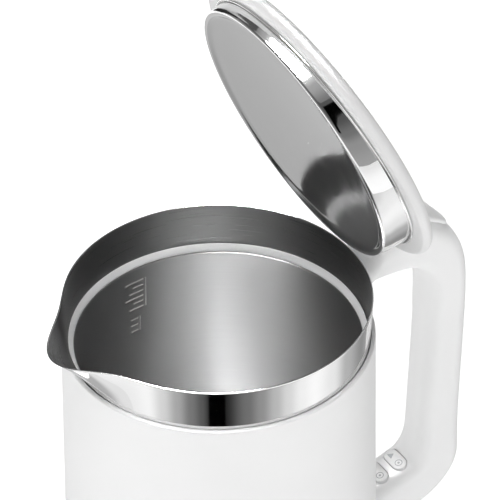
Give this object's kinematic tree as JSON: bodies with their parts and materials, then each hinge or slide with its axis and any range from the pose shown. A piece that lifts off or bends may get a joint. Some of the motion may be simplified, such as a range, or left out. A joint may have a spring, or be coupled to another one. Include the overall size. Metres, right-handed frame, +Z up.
{
  "type": "electric kettle",
  "caption": "Round cordless electric kettle with a wide spout lip, C-shaped handle with push buttons and a hinged lid held open, standing on its round power base.",
  "frame": {"origin": "middle of the flat hub under the power base, on the table plane, on the kettle's round axis", "axes": "+Z up along the kettle's round axis, +X towards the handle and lid hinge, -X towards the spout, Y across"},
  "size_m": [0.2064, 0.145, 0.3337],
  "materials": {
    "white_plastic": "satin moulded",
    "base_plastic": "satin moulded",
    "button_plastic": "satin moulded with grey icons",
    "collar_steel": "polished outside, brushed inside",
    "pot_steel": "brushed",
    "lid_steel": "satin brushed with a polished edge",
    "trim_steel": "polished",
    "small_steel": "zinc plated",
    "seal_silicone": "white silicone",
    "grey_plastic": "moulded",
    "dark_plastic": "moulded",
    "plate_aluminium": "cast",
    "contact_brass": "bright",
    "foot_rubber": "matt",
    "board_green": "lacquered board"
  },
  "bodies": {
    "base": {"base_top_shell": "base_plastic", "base_bottom_cover": "base_plastic", "base_socket": "dark_plastic", "socket_seat": "dark_plastic", "contact_ring": "contact_brass", "base_terminal_block": "dark_plastic", "cord_inlet": "foot_rubber", "base_foot_1": "foot_rubber", "base_foot_2": "foot_rubber", "base_foot_3": "foot_rubber", "base_foot_4": "foot_rubber", "base_screw_1": "small_steel", "base_screw_2": "small_steel", "base_screw_3": "small_steel"},
    "coupler": {"socket_plunger": "contact_brass"},
    "kettle": {"outer_shell": "white_plastic", "kettle_bottom_cover": "grey_plastic", "kettle_screw_1": "small_steel", "kettle_screw_2": "small_steel", "kettle_screw_3": "small_steel", "inner_pot": "pot_steel", "steel_collar": "collar_steel", "collar_seal": "seal_silicone", "heating_plate": "plate_aluminium", "heating_element": "small_steel", "element_terminal_1": "contact_brass", "element_terminal_2": "contact_brass", "temperature_sensor": "contact_brass", "thermal_cutout": "dark_plastic", "kettle_connector": "dark_plastic", "control_board": "board_green", "power_relay": "dark_plastic", "handle_shell": "white_plastic", "handle_back_cover": "white_plastic", "handle_screw_1": "small_steel", "handle_screw_2": "small_steel", "button_board": "board_green", "boil_switch": "dark_plastic", "warm_switch": "dark_plastic", "hinge_pin": "small_steel", "lid_spring": "small_steel"},
    "lid": {"lid_cover": "white_plastic", "lid_lever": "white_plastic", "lid_pan": "lid_steel", "lid_trim_ring": "trim_steel", "lid_inner_frame": "grey_plastic", "lid_screw_1": "small_steel", "lid_screw_2": "small_steel", "lid_screw_3": "small_steel"},
    "boil_button": {"boil_button": "button_plastic"},
    "warm_button": {"warm_button": "button_plastic"}
  },
  "joints": [
    {"name": "kettle_swivel", "type": "hinge", "parent": "base", "child": "coupler", "pos_m": [0, 0, 0.02], "axis": [0, 0, 1], "continuous": true},
    {"name": "kettle_lift", "type": "slide", "parent": "coupler", "child": "kettle", "axis": [0, 0, 1], "range_m": [0, 0.12]},
    {"name": "lid_hinge", "type": "hinge", "parent": "kettle", "child": "lid", "pos_m": [0.0753, 0, 0.2016], "axis": [0, 1, 0], "range_deg": [-65, 0]},
    {"name": "boil_press", "type": "slide", "parent": "kettle", "child": "boil_button", "axis": [0.2689, 0, -0.9632], "range_m": [0, 0.001], "stiffness_N_per_m": 1500, "springref_m": -0.0005},
    {"name": "warm_press", "type": "slide", "parent": "kettle", "child": "warm_button", "axis": [0.2689, 0, -0.9632], "range_m": [0, 0.001], "stiffness_N_per_m": 1500, "springref_m": -0.0005}
  ]
}
